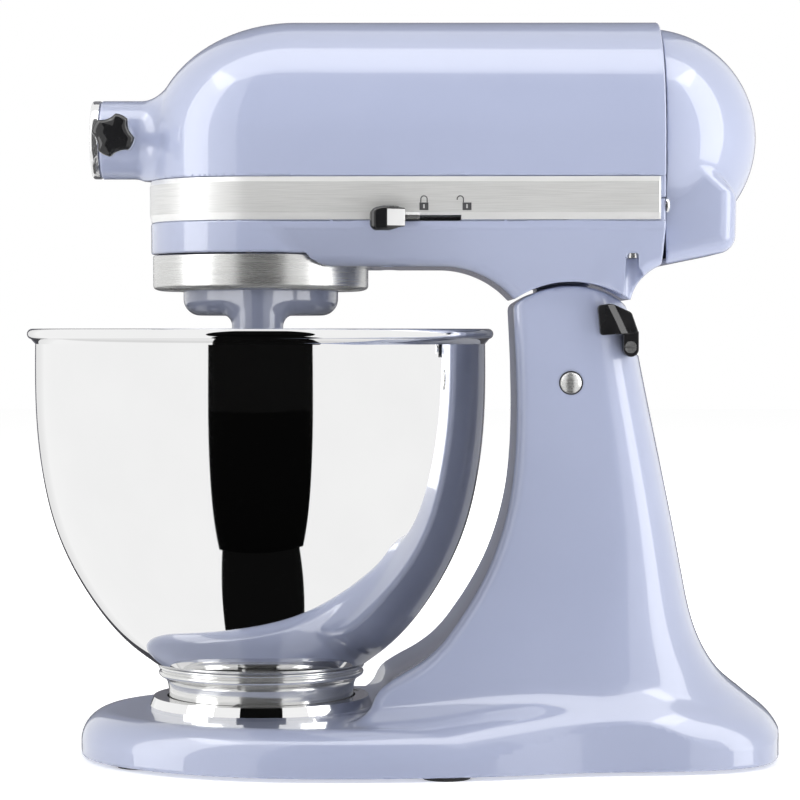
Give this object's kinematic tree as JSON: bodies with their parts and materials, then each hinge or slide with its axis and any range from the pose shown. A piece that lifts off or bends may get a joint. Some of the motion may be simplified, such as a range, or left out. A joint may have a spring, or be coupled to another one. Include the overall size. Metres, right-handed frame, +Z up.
{
  "type": "stand mixer",
  "caption": "Tilt-head stand mixer with a planetary beater drive, mirror-polished bowl on a twist-lock plate, trim band with side levers, and a front attachment hub.",
  "frame": {"origin": "centre of the bounding box's underside, on the table between the rubber feet", "axes": "+Z up, -X towards the attachment hub, the lock lever on the -Y side"},
  "size_m": [0.3588, 0.2228, 0.3503],
  "materials": {
    "enamel": "gloss lavender enamel",
    "trim_steel": "brushed, long grain",
    "polished_steel": "mirror polished",
    "satin_steel": "satin turned",
    "chrome": "bright",
    "black_plastic": "gloss black",
    "black_matte": "ribbed matt black",
    "rubber": "matt",
    "burnished_aluminium": "burnished cast",
    "gear_steel": "machined",
    "laminated_steel": "stacked laminations",
    "bronze": "sintered bronze",
    "copper_wire": "varnished copper winding",
    "carbon": "carbon",
    "circuit_board": "solder-masked board",
    "fan_plastic": "moulded"
  },
  "bodies": {
    "stand": {"base_foot": "enamel", "column": "enamel", "column_bolts": "gear_steel", "bolt_washers": "gear_steel", "rubber_feet": "rubber", "hinge_pin": "chrome", "cord_clamp": "black_matte", "cord_clamp_screw": "chrome", "bowl_clamp_plate": "polished_steel", "clamp_plate_screws": "chrome"},
    "bowl": {"bowl": "polished_steel", "bowl_foot": "satin_steel"},
    "head": {"lower_housing": "enamel", "housing_screws": "chrome", "upper_housing": "enamel", "trim_band": "trim_steel", "trim_band_screws": "chrome", "rear_cover": "enamel", "rear_cover_screw": "chrome", "hub_bush": "bronze", "bearing_rear": "bronze", "bearing_front": "bronze", "front_bearing_bracket": "burnished_aluminium", "stator_core": "laminated_steel", "field_coils": "copper_wire", "rear_bearing_bracket": "burnished_aluminium", "brush_holders": "black_matte", "carbon_brushes": "carbon", "speed_control_board": "circuit_board", "board_carrier": "black_matte", "wheel_bushes": "bronze", "wheel_bracket": "burnished_aluminium", "ring_gear": "gear_steel", "centre_shaft_bush": "bronze"},
    "planetary": {"planetary_carrier": "enamel", "drip_ring": "satin_steel", "centre_shaft": "gear_steel", "carrier_pin": "gear_steel", "centre_gear": "gear_steel", "centre_bevel_gear": "gear_steel"},
    "beater": {"beater_shaft": "gear_steel", "shaft_clip": "gear_steel", "planet_pinion": "gear_steel", "flat_beater": "burnished_aluminium"},
    "worm_wheel": {"worm_wheel": "bronze", "step_pinion": "gear_steel", "wheel_shaft": "gear_steel"},
    "armature": {"motor_shaft": "gear_steel", "armature_core": "laminated_steel", "armature_windings": "copper_wire", "commutator": "copper_wire", "cooling_fan": "fan_plastic"},
    "hub_drive": {"hub_drive_gear": "gear_steel"},
    "hub_cap": {"hub_cap": "chrome"},
    "hub_knob": {"hub_knob": "black_plastic"},
    "lock_lever": {"lock_lever_knob": "black_plastic", "lock_lever_slide": "chrome"},
    "speed_lever": {"speed_lever_knob": "black_plastic", "speed_lever_slide": "chrome"}
  },
  "joints": [
    {"name": "bowl_twist", "type": "hinge", "parent": "stand", "child": "bowl", "pos_m": [-0.068, 0, 0.0225], "axis": [0, 0, 1], "range_deg": [0, 30]},
    {"name": "head_tilt", "type": "hinge", "parent": "stand", "child": "head", "pos_m": [0.0783, 0, 0.179], "axis": [0, 1, 0], "range_deg": [0, 40]},
    {"name": "planetary_spin", "type": "hinge", "parent": "head", "child": "planetary", "pos_m": [-0.068, 0, 0.22], "axis": [0, 0, 1], "continuous": true},
    {"name": "beater_spin", "type": "hinge", "parent": "planetary", "child": "beater", "pos_m": [-0.068, -0.03, 0.2], "axis": [0, 0, 1], "continuous": true},
    {"name": "worm_wheel_spin", "type": "hinge", "parent": "head", "child": "worm_wheel", "pos_m": [-0.01963, 0.024, 0.2944], "axis": [0, 0, 1], "continuous": true},
    {"name": "motor_spin", "type": "hinge", "parent": "head", "child": "armature", "pos_m": [0.05, 0, 0.2944], "axis": [1, 0, 0], "continuous": true},
    {"name": "hub_drive_spin", "type": "hinge", "parent": "head", "child": "hub_drive", "pos_m": [-0.09, 0, 0.2944], "axis": [1, 0, 0], "continuous": true},
    {"name": "hub_cap_pull", "type": "slide", "parent": "head", "child": "hub_cap", "axis": [-1, 0, 0], "range_m": [0, 0.08]},
    {"name": "hub_knob_turn", "type": "hinge", "parent": "head", "child": "hub_knob", "pos_m": [-0.1348, -0.03, 0.2944], "axis": [0, 1, 0], "range_deg": [0, 360]},
    {"name": "lock_lever_slide", "type": "slide", "parent": "head", "child": "lock_lever", "axis": [1, 0, 0], "range_m": [0, 0.0185]},
    {"name": "speed_lever_slide", "type": "slide", "parent": "head", "child": "speed_lever", "axis": [-1, 0, 0], "range_m": [0, 0.06]}
  ],
  "couplings": [
    {"joint": "beater_spin", "follows": "planetary_spin", "ratio": -3.8571},
    {"joint": "worm_wheel_spin", "follows": "planetary_spin", "ratio": -3.5},
    {"joint": "motor_spin", "follows": "planetary_spin", "ratio": 42},
    {"joint": "hub_drive_spin", "follows": "planetary_spin", "ratio": -1.5}
  ]
}
